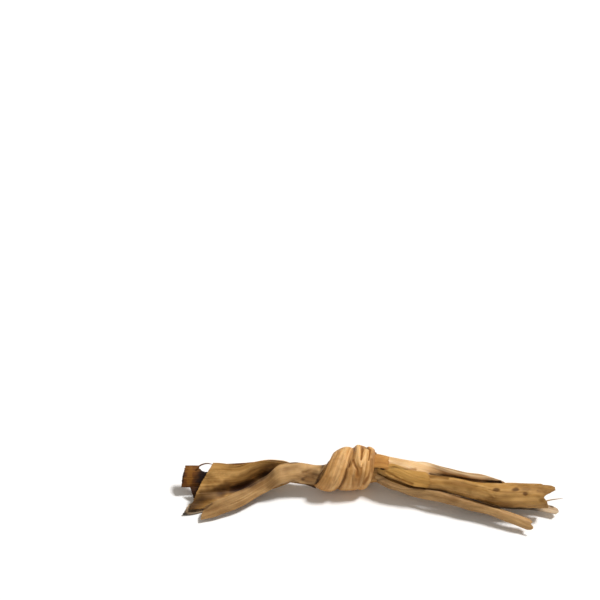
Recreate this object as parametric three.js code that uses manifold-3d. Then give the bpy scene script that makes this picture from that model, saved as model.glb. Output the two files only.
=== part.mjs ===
// A hand-tied bundle of dried banana leaf strips, lying on a table.
// Six strips of different widths run side by side, and a seventh is wound round their middle as the tie.
// Millimetres, +Z up. +X runs along the bundle, from its broad end to its ragged end, and +Y points to its back.
// The origin is on the table, at the middle of the bundle's footprint.
import * as THREE from "three";
import { mergeVertices } from "three/addons/utils/BufferGeometryUtils.js";
import Module from "manifold-3d";

// Driving dimensions. Until the last step, x = 0 is 10 mm to the right of the knot's middle and y = 0 is its axis.
const LEAF_THICKNESS = 0.6;
const LAYER_PITCH = 0.95; // from one leaf to the next where the tie presses them together
const TIE_THICKNESS = 0.8;

// The rows of every leaf stand in the same cross planes, closer together at the knot than towards the ends.
const KNOT_ZONE = { from: -46, to: 26, step: 4 };
const END_ZONE = { from: -90, to: 90, step: 8 };
const STEPS_ACROSS = 8;
const degrees = THREE.MathUtils.degToRad;

// A smooth value along the bundle through hand-placed keys. It is a monotone cubic, so it never overshoots a key.
function track(keys) {
  const rise = keys.slice(1).map(([x, value], i) => (value - keys[i][1]) / (x - keys[i][0]));
  const slope = keys.map((_, i) => {
    const before = rise[Math.max(i - 1, 0)];
    const after = rise[Math.min(i, rise.length - 1)];
    return before * after <= 0 ? 0 : (2 * before * after) / (before + after);
  });
  return (x) => {
    const inside = THREE.MathUtils.clamp(x, keys[0][0], keys.at(-1)[0]);
    const i = Math.max(keys.findIndex(([key]) => key >= inside) - 1, 0);
    const span = keys[i + 1][0] - keys[i][0];
    const t = (inside - keys[i][0]) / span;
    const ease = t * t * (3 - 2 * t);
    return (
      keys[i][1] * (1 - ease) +
      keys[i + 1][1] * ease +
      span * (slope[i] * t * (1 - t) * (1 - t) - slope[i + 1] * t * t * (1 - t))
    );
  };
}

// The bundle's middle line through the knot and on through the main roll, and the radius of its outermost leaves.
const spineY = track([
  [-48, -4], [-36, -2.3], [-26, -3], [-15, -0.8], [-6, 0.7], [2, 0.8], [12, -2.8], [22, -5.4], [40, -8], [52, -11],
  [63, -12.8], [90, -13.4],
]);
const spineZ = track([
  [-48, 9.5], [-36, 10.3], [-26, 9.6], [-15, 10.1], [-6, 10.2], [3, 10.3], [12, 9.4], [22, 7.3], [40, 7.2],
  [52, 6.55], [63, 6.2], [90, 6.2],
]);
const coreRadius = track([
  [-36, 5.0], [-26, 4.4], [-12, 5.0], [0, 6.2], [12, 7.3], [22, 5.5], [40, 4.9], [52, 5.2], [63, 6.35], [90, 6.75],
]);

// To the right of the knot the knot props the leaves up off the table, and they stray to the front as they rise.
const raised = track([[11, 0], [24, 1.6], [40, 3.2], [52, 4.2], [63, 4.6], [90, 4.6]]);
const STRAY = 0.775;

// A leaf's section is an arc: where its middle is, its slope there, how far it turns from its lower edge to its
// upper edge, and its width. A slope of 0 points to the back, and 90 points up. A negative turn bulges to the front.
function section(x, y, z, tilt, turn, width) {
  return { x, y, z, tilt, turn, width };
}

// The same for a leaf that follows a circle: the circle's middle and radius, and the angle round it of the leaf's
// middle, from 0 at the back over 90 at the top to 180 at the front.
function around(x, y, z, radius, angle, width) {
  return {
    x,
    y: y + radius * Math.cos(degrees(angle)),
    z: z + radius * Math.sin(degrees(angle)),
    tilt: angle - 90,
    turn: -THREE.MathUtils.radToDeg(width / radius),
    width,
  };
}

// The part of a leaf that follows the bundle's middle line, from keys of x, layer, angle and width. Layer 0 is the
// outermost. A leaf on the underside has its upper edge at the back.
const PRESSED_STEP = 2;
function pressed(keys, underside = false) {
  const [layer, angle, width] = [1, 2, 3].map((column) => track(keys.map((key) => [key[0], key[column]])));
  const sections = [];
  for (let x = keys[0][0]; x <= keys.at(-1)[0]; x += PRESSED_STEP) {
    const made = around(x, spineY(x), spineZ(x), coreRadius(x) - layer(x) * LAYER_PITCH, angle(x), width(x));
    sections.push(underside ? { ...made, tilt: made.tilt - 180, turn: -made.turn } : made);
  }
  return sections;
}

// Each leaf's ends are the x of its lower and its upper edge, so that an end can be cut slantwise. A trough is a
// lengthwise fold: how deep it sinks and how far across the leaf it lies, both along x, and its reach to each side.
const LEAVES = [
  {
    // Opens into a trough at the left, and rolls up into the main strip at the right.
    name: "broad_leaf",
    colour: "#b08a58",
    ends: { left: [-86, -75], right: [84.5, 86.5] },
    trough: {
      depth: track([[-80, 0], [-70, 2.8], [-62, 3.8], [-52, 3.2], [-44, 0]]),
      across: track([[-74, 0.33], [-62, 0.38], [-50, 0.5]]),
      reach: 4.5,
    },
    sections: [
      section(-86, -10.6, 9.8, 41, -10, 22),
      section(-75, -9.8, 9.5, 43, -5, 21.5),
      section(-62, -7.0, 6.8, 43, 55, 19.5),
      section(-50, -2.7, 8.1, 46, 40, 15),
      section(-42, -3.1, 9.9, 48, -30, 11.6),
      ...pressed([
        [-35, 1, 155, 9.5],
        [-26, 1, 165, 9.5],
        [-10, 1, 175, 12],
        [5, 1, 170, 14],
        [22, 1, 152, 15],
        [40, 1, 150, 15.7],
        [63, 1, 144, 18],
        [89, 1, 142, 18.5],
      ]),
    ],
  },
  {
    // The front lip at the left, and the strip that strays from the others at the right.
    name: "front_leaf",
    colour: "#b89a72",
    ends: { left: [-81, -79], right: [74, 77] },
    sections: [
      section(-81, -22.2, 3.0, 30, -20, 5.8),
      section(-72, -19.6, 5.2, 39, -25, 7.6),
      section(-62, -15.8, 6.7, 39, -35, 8.2),
      section(-50, -8.9, 8.9, 41, -50, 8.0),
      around(-42, -3.2, 9.9, 5.4, 126, 10.6),
      ...pressed([
        [-35, 0, 128, 11.6],
        [-26, 0, 134, 10.8],
        [-10, 0, 190, 9],
        [5, 0, 198, 9.5],
        [13, 0, 196, 8.5],
      ]),
      section(22, -12.0, 6.0, 88, -66, 6.0),
      section(32, -13.9, 6.2, 66, -90, 6.0),
      section(42, -16.2, 4.8, 50, -110, 5.8),
      section(58, -19.9, 2.9, 46, -120, 5.8),
      section(66, -23.2, 1.9, 44, -120, 5.8),
      section(80, -27.9, -0.4, 40, -110, 5.8),
    ],
  },
  {
    // Stands behind the broad leaf, and is the pale edge along the top at the right.
    name: "back_leaf",
    colour: "#c4a478",
    ends: { left: [-73, -71], right: [65, 62] },
    sections: [
      section(-73, 2.6, 3.8, -108, 20, 6.0),
      section(-60, 3.3, 4.4, -108, 20, 6.8),
      section(-50, 3.5, 7.3, -102, 20, 8.4),
      section(-42, 3.0, 9.0, -92, -10, 7.2),
      ...pressed([
        [-35, 1, 8, 5.8],
        [-26, 1, 12, 4.7],
        [-10, 0.7, 38, 7],
        [-3, 0, 48, 8.5],
        [5, 0, 54, 9.5],
      ]),
      around(13, -1.3, 9.5, 6.85, 65, 10.2),
      around(19, -1.9, 9.0, 6.6, 73, 9.6),
      section(24, -1.0, 13.6, -3, -45, 6.7),
      section(28, -0.95, 12.4, 18, -25, 5.3),
      section(32, -1.45, 11.3, 41, -15, 4.7),
      section(38, -2.9, 10.3, 58, -10, 4.8),
      section(44, -4.2, 9.9, 64, -8, 4.8),
      section(52, -5.6, 9.4, 66, -8, 4.8),
      section(66, -6.4, 7.7, 68, -8, 3.6),
    ],
  },
  {
    // Cut square at the left, and ends inside the roll of the broad leaf at the right.
    name: "stub_leaf",
    colour: "#9a6a34",
    ends: { left: [-90.8, -88.8], right: [73, 71] },
    sections: [
      section(-91, -4.2, 9.2, 39, -45, 10.5),
      section(-80, -3.8, 9.0, 41, -40, 10.5),
      section(-62, -0.6, 7.8, 56, -30, 9.3),
      section(-50, 1.0, 8.8, 62, -30, 7.5),
      section(-42, -1.0, 9.7, 48, -45, 6.6),
      ...pressed([
        [-35, 2.1, 94, 4.8],
        [-26, 2.1, 94, 4.0],
        [-10, 2.1, 97, 6],
        [5, 2.1, 117, 7.0],
        [22, 2.1, 120, 6.4],
        [40, 2.1, 115, 5.8],
        [73, 2.1, 108, 6.4],
      ]),
    ],
  },
  {
    // Lies under the others, with a dark curled tip at the left and a pale flat one at the right.
    name: "under_leaf",
    colour: "#7d6444",
    ends: { left: [-89.5, -87], right: [90, 89] },
    sections: [
      section(-89.5, -18.6, 1.0, 12, 60, 4.5),
      section(-84, -16.8, 0.7, 6, 20, 6.5),
      section(-74, -12.0, 0.6, 3, 5, 8.5),
      section(-62, -7.4, 1.4, 8, 0, 8),
      section(-50, -3.0, 3.5, 14, 5, 7),
      section(-42, -2.2, 5.8, 10, 30, 6.4),
      ...pressed(
        [
          [-35, 2, 268, 4.8],
          [-26, 2, 268, 4.0],
          [-10, 2, 272, 6],
          [5, 2, 288, 7],
          [11, 2, 290, 7],
        ],
        true,
      ),
      section(20, -1.9, 3.4, 6, 30, 7),
      section(27, -3.6, 2.1, 5, 15, 7),
      section(34, -5.6, 1.8, 4, 10, 7),
      section(50, -10.8, 0, 2, 0, 6.2),
      section(68, -12.2, -1.6, 0, 0, 6),
      section(80, -13.5, -1.6, 0, 0, 5.2),
      section(90, -16.4, -1.6, 0, 0, 4.8),
    ],
  },
  {
    // A short piece caught in the knot, which lies over the main strip.
    name: "short_leaf",
    colour: "#b59455",
    ends: { left: [-8, -8], right: [29.5, 28.5] },
    sections: [
      ...pressed([
        [-8, 0, 126, 2.4],
        [6, 0, 126, 3.4],
      ]),
      section(12, -6.4, 15.6, 34, -35, 5.2),
      section(20, -8.6, 13.9, 42, -45, 7.2),
      section(29.5, -9.5, 12.8, 44, -50, 7.2),
    ],
  },
];

// A closed solid from a grid of points on one side and a like grid on the other. A closed ring has no end faces.
function slab(outer, inner, ring = false) {
  const rows = outer.length;
  const columns = outer[0].length;
  const points = [...outer.flat(), ...inner.flat()];
  const side = rows * columns;
  const at = (row, column, layer) => layer * side + row * columns + column;
  const faces = [];
  const quad = (a, b, c, d) => faces.push(a, b, c, a, c, d);
  for (let row = 0; row + 1 < rows; row += 1) {
    for (let column = 0; column + 1 < columns; column += 1) {
      quad(at(row, column, 0), at(row + 1, column, 0), at(row + 1, column + 1, 0), at(row, column + 1, 0));
      quad(at(row, column, 1), at(row, column + 1, 1), at(row + 1, column + 1, 1), at(row + 1, column, 1));
    }
    quad(at(row, 0, 0), at(row, 0, 1), at(row + 1, 0, 1), at(row + 1, 0, 0));
    quad(at(row, columns - 1, 0), at(row + 1, columns - 1, 0), at(row + 1, columns - 1, 1), at(row, columns - 1, 1));
  }
  for (let column = 0; column + 1 < columns && !ring; column += 1) {
    quad(at(0, column, 0), at(0, column + 1, 0), at(0, column + 1, 1), at(0, column, 1));
    quad(at(rows - 1, column, 0), at(rows - 1, column, 1), at(rows - 1, column + 1, 1), at(rows - 1, column + 1, 0));
  }
  const geometry = new THREE.BufferGeometry().setFromPoints(points);
  geometry.setIndex(faces);
  return geometry;
}

// The x of a leaf's rows: its cut ends, and the cross planes that lie between them.
function rowsBetween({ left, right }) {
  const planes = [];
  for (let x = END_ZONE.from; x <= END_ZONE.to; x += END_ZONE.step) {
    if (x < KNOT_ZONE.from || x > KNOT_ZONE.to) planes.push(x);
  }
  for (let x = KNOT_ZONE.from; x <= KNOT_ZONE.to; x += KNOT_ZONE.step) planes.push(x);
  planes.sort((a, b) => a - b);
  const clear = END_ZONE.step / 4;
  const inside = planes.filter((x) => x > Math.max(...left) + clear && x < Math.min(...right) - clear);
  return [left, ...inside.map((x) => [x, x]), right];
}

// How far a lengthwise fold sinks a leaf at a place, from the fold's own depth, line across the leaf, and reach.
function troughDepth({ depth, across: line, reach }, x, across, width) {
  const distance = Math.abs(across - line(x)) * width;
  return depth(x) * THREE.MathUtils.smoothstep(1 - distance / reach, 0, 1);
}

// A leaf: its arc sections joined along the bundle, thickened to both sides.
function leafGeometry({ ends, sections, trough }) {
  const along = (key) => track(sections.map((s) => [s.x, s[key]]));
  const [y, z, tilt, turn, width] = ["y", "z", "tilt", "turn", "width"].map(along);
  const outer = [];
  const inner = [];
  for (const [lowerEdge, upperEdge] of rowsBetween(ends)) {
    outer.push([]);
    inner.push([]);
    for (let column = 0; column <= STEPS_ACROSS; column += 1) {
      const across = column / STEPS_ACROSS;
      const x = THREE.MathUtils.lerp(lowerEdge, upperEdge, across);
      const lift = raised(x);
      const start = degrees(tilt(x));
      const bend = degrees(turn(x)) * (across - 0.5);
      const reach = width(x) * (across - 0.5);
      const chord = Math.abs(bend) < 1e-4 ? reach : (2 * reach * Math.sin(bend / 2)) / bend;
      const middle = new THREE.Vector3(
        x,
        y(x) - STRAY * lift + chord * Math.cos(start + bend / 2),
        z(x) + lift + chord * Math.sin(start + bend / 2),
      );
      const out = new THREE.Vector3(0, -Math.sin(start + bend), Math.cos(start + bend));
      if (trough) middle.addScaledVector(out, -troughDepth(trough, x, across, width(x)));
      outer.at(-1).push(middle.clone().addScaledVector(out, LEAF_THICKNESS / 2));
      inner.at(-1).push(middle.clone().addScaledVector(out, -LEAF_THICKNESS / 2));
    }
  }
  return slab(outer, inner);
}

// The tie: one strip wound nearly three times round the bundle from left to right, each turn lapping the one before.
// Its winding angle falls as it goes. Its first and last stretch dip in under the other turns.
const knotRadius = track([[-28, 5.6], [-22, 8.2], [-16, 10], [-10, 10.7], [-4, 10.8], [0, 10.3], [3, 9.8], [6, 9.4]]);
const WINDING = { from: 300, to: -760, steps: 60, across: 5 };
const turnMiddle = track([
  [-760, 2.8], [-681, 1.7], [-591, 0.2], [-501, -2.5], [-321, -2.8], [-141, -8], [39, -11.3], [219, -20.2],
  [300, -21.5],
]);
const turnWidth = track([
  [-760, 2.5], [-681, 4.4], [-591, 5.4], [-501, 6], [-321, 8.4], [-141, 12.5], [39, 10], [219, 12], [300, 9],
]);
const dip = track([[-760, 1.4], [-700, 0], [250, 0], [300, 2]]);
const LAP_DEPTH = 1.5;
const EDGE_DEPTH = 0.4;

function ringPoint(x, radius, angle) {
  return new THREE.Vector3(
    x,
    spineY(x) + radius * Math.cos(degrees(angle)),
    spineZ(x) + radius * Math.sin(degrees(angle)),
  );
}

function windingGeometry() {
  const outer = [];
  const inner = [];
  for (let row = 0; row <= WINDING.steps; row += 1) {
    const angle = THREE.MathUtils.lerp(WINDING.from, WINDING.to, row / WINDING.steps);
    outer.push([]);
    inner.push([]);
    for (let column = 0; column <= WINDING.across; column += 1) {
      const across = column / WINDING.across;
      const x = turnMiddle(angle) + turnWidth(angle) * (across - 0.5);
      const lapped = LAP_DEPTH * across ** 3 + EDGE_DEPTH * (1 - across) ** 3;
      const radius = knotRadius(x) - lapped - dip(angle);
      outer.at(-1).push(ringPoint(x, radius, angle));
      inner.at(-1).push(ringPoint(x, radius - TIE_THICKNESS, angle));
    }
  }
  return slab(inner, outer);
}

// The turns of the tie that lie hidden under the outer ones fill the knot down to the leaves.
const FILL = { left: -18.5, slant: 4.5, slantAngle: 39, right: 1.7, steps: 8, around: 24, depth: 0.8, clearance: 0.8 };

function fillGeometry() {
  const outer = [];
  const inner = [];
  for (let step = 0; step <= FILL.around; step += 1) {
    const angle = (-360 * (step % FILL.around)) / FILL.around;
    const left = FILL.left + FILL.slant * Math.cos(degrees(angle - FILL.slantAngle));
    outer.push([]);
    inner.push([]);
    for (let column = 0; column <= FILL.steps; column += 1) {
      const x = THREE.MathUtils.lerp(left, FILL.right, column / FILL.steps);
      outer.at(-1).push(ringPoint(x, knotRadius(x) - FILL.depth, angle));
      inner.at(-1).push(ringPoint(x, coreRadius(x) + FILL.clearance, angle));
    }
  }
  return slab(inner, outer, true);
}

// The first end of the tie lies along the outside of the leaves and shows at the right.
const tieEnd = {
  ends: { left: [-6, -6], right: [10.5, 10.5] },
  sections: pressed([
    [-6, -1.35, 112, 6],
    [4, -1.35, 103, 7.6],
    [12, -1.35, 90, 8.2],
  ]),
};

const wasm = await Module();
wasm.setup();

function solid(geometry) {
  const bare = new THREE.BufferGeometry();
  bare.setAttribute("position", geometry.getAttribute("position"));
  bare.setIndex(geometry.index);
  const merged = mergeVertices(bare, 1e-4);
  return new wasm.Manifold(
    new wasm.Mesh({
      numProp: 3,
      vertProperties: new Float32Array(merged.attributes.position.array),
      triVerts: new Uint32Array(merged.index.array),
    }),
  );
}

function geometryOf(manifold) {
  const { vertProperties, triVerts } = manifold.getMesh();
  const geometry = new THREE.BufferGeometry();
  geometry.setAttribute("position", new THREE.BufferAttribute(vertProperties, 3));
  geometry.setIndex(new THREE.BufferAttribute(triVerts, 1));
  return geometry;
}

// The table side of the knot is pressed flat.
const TABLE_SIDE = 80;
const TABLE_DEPTH = 20;

function tieGeometry() {
  const table = new THREE.BoxGeometry(TABLE_SIDE, TABLE_SIDE, TABLE_DEPTH).translate(0, 0, -TABLE_DEPTH / 2);
  const turns = solid(windingGeometry()).add(solid(fillGeometry()));
  return geometryOf(turns.add(solid(leafGeometry(tieEnd))).subtract(solid(table)));
}

function piece(name, geometry, colour) {
  geometry.computeVertexNormals();
  const material = new THREE.MeshStandardMaterial({
    color: colour,
    roughness: 0.75,
    metalness: 0,
    side: THREE.DoubleSide,
  });
  const mesh = new THREE.Mesh(geometry, material);
  mesh.name = name;
  return mesh;
}

const bundle = new THREE.Group();
bundle.name = "banana_leaf_bundle";
for (const leaf of LEAVES) bundle.add(piece(leaf.name, leafGeometry(leaf), leaf.colour));
bundle.add(piece("tie_strip", tieGeometry(), "#b98f52"));

// The origin goes to the middle of the footprint.
const footprint = new THREE.Box3().setFromObject(bundle, true).getCenter(new THREE.Vector3());
bundle.position.set(-footprint.x, -footprint.y, 0);

export default bundle;
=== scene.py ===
"""A hand-tied bundle of dried banana leaf strips, lying on a white table.

Shapes are worked out in millimetres, in the bundle's own middle: x along it, y to its back, z up.
MM and FOOTPRINT take them into the frame, whose origin is on the table under the middle of the bundle.
"""

import math

import bpy
import numpy as np
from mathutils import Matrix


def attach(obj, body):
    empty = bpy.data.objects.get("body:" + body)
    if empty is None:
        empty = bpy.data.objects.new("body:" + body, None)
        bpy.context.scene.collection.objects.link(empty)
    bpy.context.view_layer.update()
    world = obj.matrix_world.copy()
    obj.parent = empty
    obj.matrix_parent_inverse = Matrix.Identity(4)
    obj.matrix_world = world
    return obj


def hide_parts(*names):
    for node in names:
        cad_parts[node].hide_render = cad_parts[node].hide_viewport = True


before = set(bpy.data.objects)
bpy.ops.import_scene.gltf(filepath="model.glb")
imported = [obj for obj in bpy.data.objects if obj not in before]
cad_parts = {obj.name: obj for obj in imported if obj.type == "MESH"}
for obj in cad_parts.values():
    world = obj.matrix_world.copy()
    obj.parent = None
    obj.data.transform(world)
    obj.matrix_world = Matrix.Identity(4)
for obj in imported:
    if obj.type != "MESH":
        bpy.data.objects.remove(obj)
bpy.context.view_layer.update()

# The camera stands in front of the bundle and well above it, as it did for the photograph.
# It points at the table behind the bundle, which so comes to lie in the lower part of the picture.
CAMERA_PLACE = (-0.03255, -0.3591, 0.4534)
CAMERA_PITCH = 48.0  # degrees up from looking straight down
CAMERA_LENS = 70  # millimetres
CAMERA_SENSOR = 36  # millimetres
NEAREST_SEEN = 0.01  # metres

camera_data = bpy.data.cameras.new("camera")
camera_data.lens = CAMERA_LENS
camera_data.sensor_width = CAMERA_SENSOR
camera_data.clip_start = NEAREST_SEEN
camera = bpy.data.objects.new("camera", camera_data)
camera.location = CAMERA_PLACE
camera.rotation_euler = (math.radians(CAMERA_PITCH), 0, 0)
bpy.context.scene.collection.objects.link(camera)
bpy.context.scene.camera = camera

# A white table top, and the light of a bright room: a soft lamp to the right and a little behind, and warm
# white walls all round. The lamp is large and stands high, so shadows are short, soft, and darkest near the
# table.
TABLE_SIDE = 3.0
TABLE_WHITE = (0.95, 0.945, 0.94, 1)
TABLE_ROUGHNESS = 0.6
TABLE_SHINE = 0.2
LAMP_DIRECTION = (0.6, 0.25, 1.0)
LAMP_STRENGTH = 3.15
LAMP_SPREAD = 11.0  # degrees, which softens the shadows
ROOM_LIGHT = (1.0, 0.93, 0.84, 1)
ROOM_STRENGTH = 0.36

bpy.ops.mesh.primitive_plane_add(size=TABLE_SIDE)
table = bpy.context.object
table.name = "table_top"
table_finish = bpy.data.materials.new("white_table")
table_finish.use_nodes = True
table_shader = table_finish.node_tree.nodes["Principled BSDF"]
table_shader.inputs["Base Color"].default_value = TABLE_WHITE
table_shader.inputs["Roughness"].default_value = TABLE_ROUGHNESS
table_shader.inputs["Specular IOR Level"].default_value = TABLE_SHINE
table.data.materials.append(table_finish)

lamp_data = bpy.data.lights.new("window", "SUN")
lamp_data.energy = LAMP_STRENGTH
lamp_data.angle = math.radians(LAMP_SPREAD)
lamp = bpy.data.objects.new("window", lamp_data)
across_table = math.hypot(LAMP_DIRECTION[0], LAMP_DIRECTION[1])
lamp.rotation_euler = (
    math.atan2(across_table, LAMP_DIRECTION[2]),
    0,
    math.atan2(LAMP_DIRECTION[0], -LAMP_DIRECTION[1]),
)
bpy.context.scene.collection.objects.link(lamp)

room = bpy.data.worlds.new("room")
room.use_nodes = True
room.node_tree.nodes["Background"].inputs["Color"].default_value = ROOM_LIGHT
room.node_tree.nodes["Background"].inputs["Strength"].default_value = ROOM_STRENGTH
bpy.context.scene.world = room
bpy.context.scene.view_settings.view_transform = "Standard"

# The broad leaf is the widest strip: dry banana sheath, stiff and thin, with fine ribs along its length.
# It lies open as a trough at the left, is pinched by the tie, and rolls up lengthwise at the right into the
# main strip. Only the tie holds it.
MM = 0.001
FOOTPRINT = np.array([0.4, 9.795, 0.0])
LEAF_THICKNESS = 0.4
LAYER_PITCH = 0.95


def track(keys):
    """A smooth value through keys of place and value: a monotone cubic, which never overshoots a key."""
    place, value = np.array(keys, dtype=float).T
    rise = np.diff(value) / np.diff(place)
    before = np.concatenate([rise[:1], rise])
    after = np.concatenate([rise, rise[-1:]])
    same_way = before * after > 0
    slope = np.where(same_way, 2 * before * after / np.where(same_way, before + after, 1), 0)

    def at(where):
        where = np.clip(where, place[0], place[-1])
        i = np.clip(np.searchsorted(place, where, "right") - 1, 0, len(rise) - 1)
        span = place[i + 1] - place[i]
        t = (where - place[i]) / span
        ease = t * t * (3 - 2 * t)
        bow = slope[i] * t * (1 - t) ** 2 - slope[i + 1] * t * t * (1 - t)
        return value[i] * (1 - ease) + value[i + 1] * ease + span * bow

    return at


# The middle line of the bundle through the knot and the roll, and the radius of its outermost leaves.
spine_y = track(
    [
        (-48, -4), (-36, -2.3), (-26, -3), (-15, -0.8), (-6, 0.7), (2, 0.8),
        (12, -2.8), (22, -5.4), (40, -8), (52, -11), (63, -12.8), (90, -13.4),
    ]
)
spine_z = track(
    [
        (-48, 9.5), (-36, 10.3), (-26, 9.6), (-15, 10.1), (-6, 10.2), (3, 10.3),
        (12, 9.4), (22, 7.3), (40, 7.2), (52, 6.55), (63, 6.2), (90, 6.2),
    ]
)
core_radius = track(
    [
        (-36, 5.0), (-26, 4.4), (-12, 5.0), (0, 6.2), (12, 7.3), (22, 5.5),
        (40, 4.9), (52, 5.2), (63, 6.35), (90, 6.75),
    ]
)

# To the right of the knot the knot props the leaves up off the table, and they stray to the front as they
# rise.
raised = track([(11, 0), (24, 1.6), (40, 3.2), (52, 4.2), (63, 4.6), (90, 4.6)])
STRAY = 0.775


def around(x, y, z, radius, angle, width):
    """A leaf's section that follows a circle. Angles go from 0 at the back over 90 at the top to 180 in front.
    A section is its x, the y and z of its middle, its slope there, how far it turns across, and its width."""
    turned = math.radians(angle)
    return (
        x,
        y + radius * math.cos(turned),
        z + radius * math.sin(turned),
        angle - 90,
        -math.degrees(width / radius),
        width,
    )


PRESSED_STEP = 2.0


def pressed(keys, underside=False):
    """A leaf's sections along the bundle's middle line, from keys of x, layer, angle and width."""
    layer, angle, width = (track([(key[0], key[column]) for key in keys]) for column in (1, 2, 3))
    sections = []
    for x in np.arange(keys[0][0], keys[-1][0] + 0.1, PRESSED_STEP):
        radius = core_radius(x) - layer(x) * LAYER_PITCH
        made = around(x, spine_y(x), spine_z(x), radius, angle(x), width(x))
        if underside:
            made = (*made[:3], made[3] - 180, -made[4], made[5])
        sections.append(made)
    return sections


# The side of the random grid that a ripple is read from, and where in it the reading starts.
BUMPS = 128
BUMP_START = (40.3, 40.7)


def ripple(along, across, length, width, seed):
    """A smooth random swell from -1 to 1, with bumps of about that length and width."""
    heights = np.random.default_rng(seed).uniform(-1, 1, (BUMPS, BUMPS))
    u = along / length + BUMP_START[0]
    v = across / width + BUMP_START[1]
    i = np.floor(u).astype(int)
    j = np.floor(v).astype(int)
    s = u - i
    t = v - j
    s = s * s * (3 - 2 * s)
    t = t * t * (3 - 2 * t)
    low = heights[i % BUMPS, j % BUMPS] * (1 - t) + heights[i % BUMPS, (j + 1) % BUMPS] * t
    high = heights[(i + 1) % BUMPS, j % BUMPS] * (1 - t) + heights[(i + 1) % BUMPS, (j + 1) % BUMPS] * t
    return low * (1 - s) + high * s


def crease(distance, width):
    """The shape of a fold's valley: 1 at its line and 0 from that width away."""
    return np.clip(1 - (distance / width) ** 2, 0, 1) ** 2


def soften(values, times):
    """Each value averaged with its neighbours along and across, that many times over."""
    for _ in range(times):
        for axis in (0, 1):
            ends = np.take(values, [0], axis), np.take(values, [-1], axis)
            padded = np.concatenate([ends[0], values, ends[1]], axis=axis)
            count = values.shape[axis]
            before = np.take(padded, range(count), axis)
            after = np.take(padded, range(2, count + 2), axis)
            values = 0.5 * values + 0.25 * (before + after)
    return values


# Creases, stains, painted shade and painted highlights are placed by x and rise. A point's rise is its height
# in the view from in front and above, which is this far from straight down. So a line of such points runs on
# over every leaf that it crosses.
VIEW_DOWN = math.radians(39.0)
# The first mark darkens a leaf and the second browns it, for real stains and also for painted shade in
# troughs, crevices and gaps between leaves; the third pales it, for paler patches and also for painted
# highlights.
MARKS = ("stain", "brown", "pale")

# The swells of a crumpled leaf, from long folds to short puckers: height, length, width, number of the draw.
SWELLS = ((0.42, 30, 3.0, 12), (0.24, 10, 2.0, 13), (0.09, 3.4, 1.3, 14))


class Sheet:
    """A strip's surface as a grid of points: rows along its fibres and columns across them."""

    def __init__(self, along, across, width, share, progress, middle, out, seed):
        self.along = along
        self.across = across
        self.width = width
        self.share = share
        self.progress = progress
        self.middle = middle
        self.out = out
        self.seed = seed
        self.x = middle[..., 0]
        self.rise = middle[..., 1] * math.cos(VIEW_DOWN) + middle[..., 2] * math.sin(VIEW_DOWN)
        facing = out[..., 2] * math.cos(VIEW_DOWN) - out[..., 1] * math.sin(VIEW_DOWN)
        self.seen = np.clip(facing * 2.5 + 0.5, 0, 1)
        self.to_lower = width * share
        self.to_upper = width * (1 - share)
        self.lift = np.zeros_like(self.x)
        self.marks = {key: np.zeros_like(self.x) for key in MARKS}
        self.open = np.zeros(self.x.shape, dtype=bool)

    def mark(self, shape, depth, amounts):
        """Presses a shape in by a depth, and marks the leaf's colour by it: real stains, and painted shade and
        highlights.
        """
        self.lift -= depth * shape
        for key, amount in amounts.items():
            self.marks[key] = np.maximum(self.marks[key], amount * shape)

    def line(self, points, width, depth=0.0, taper=1.0, **amounts):
        """A crease, or a ridge where its depth is negative, along a line of points in the view.
        Its width there goes to its taper times as much at the last point."""
        distance = np.full(self.x.shape, np.inf)
        steps = len(points) - 1
        for step, ((x0, rise0), (x1, rise1)) in enumerate(zip(points[:-1], points[1:])):
            run = (x1 - x0) ** 2 + (rise1 - rise0) ** 2
            way = ((self.x - x0) * (x1 - x0) + (self.rise - rise0) * (rise1 - rise0)) / run
            way = np.clip(way, 0, 1)
            off_x = self.x - x0 - way * (x1 - x0)
            off_rise = self.rise - rise0 - way * (rise1 - rise0)
            narrowed = 1 + (taper - 1) * (step + way) / steps
            distance = np.minimum(distance, np.hypot(off_x, off_rise) / narrowed)
        waver = 1 + 0.35 * ripple(self.x, self.rise, 2.5, 2.5, self.seed + 5)
        strength = 0.8 + 0.2 * ripple(self.x, self.rise, 3.5, 3.5, self.seed + 7)
        self.mark(crease(distance, width * waver) * strength * self.seen, depth, amounts)

    def spot(self, x, rise, length, width, slant=0.0, depth=0.0, **amounts):
        """A soft oval mark in the view, that long and that wide, turned by a slant in degrees."""
        turned = math.radians(slant)
        over = (self.x - x) * math.cos(turned) + (self.rise - rise) * math.sin(turned)
        up = (self.rise - rise) * math.cos(turned) - (self.x - x) * math.sin(turned)
        waver = 0.3 * ripple(self.x, self.rise, 2.2, 1.6, self.seed + 6)
        distance = np.hypot(over / length, up / width) * 2 * (1 + waver)
        shape = np.clip(1.3 - distance, 0, 1)
        self.mark(shape * shape * (3 - 2 * shape) * self.seen, depth, amounts)

    def crumple(self, size=1.0, ribs=0.028):
        """The shrinking of a dry leaf: fine ribs, folds, puckers, and creases where it gave way."""
        drift = self.across + 0.8 * ripple(self.along, self.across, 18, 5, self.seed + 10)
        slanted = self.along + 1.8 * self.across, self.across - 0.5 * self.along
        self.lift += ribs * np.sin(drift * 5.3 + 2 * ripple(self.along, self.across, 22, 3, self.seed + 11))
        for height, length, width, draw in SWELLS:
            self.lift += height * size * ripple(self.along, drift, length, width, self.seed + draw)
        self.lift += 0.22 * size * ripple(*slanted, 9, 4, self.seed + 17)
        gave = crease(ripple(self.along, drift, 38, 3.2, self.seed + 15), 0.16)
        gave *= np.clip(0.35 + 1.4 * ripple(self.along, self.across, 15, 6, self.seed + 16), 0, 1)
        self.mark(gave, 0.22 * size, {"brown": 0.35})


# A torn end follows a ragged line, which is read off a ripple over this length.
TORN_LENGTH = 40


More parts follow.
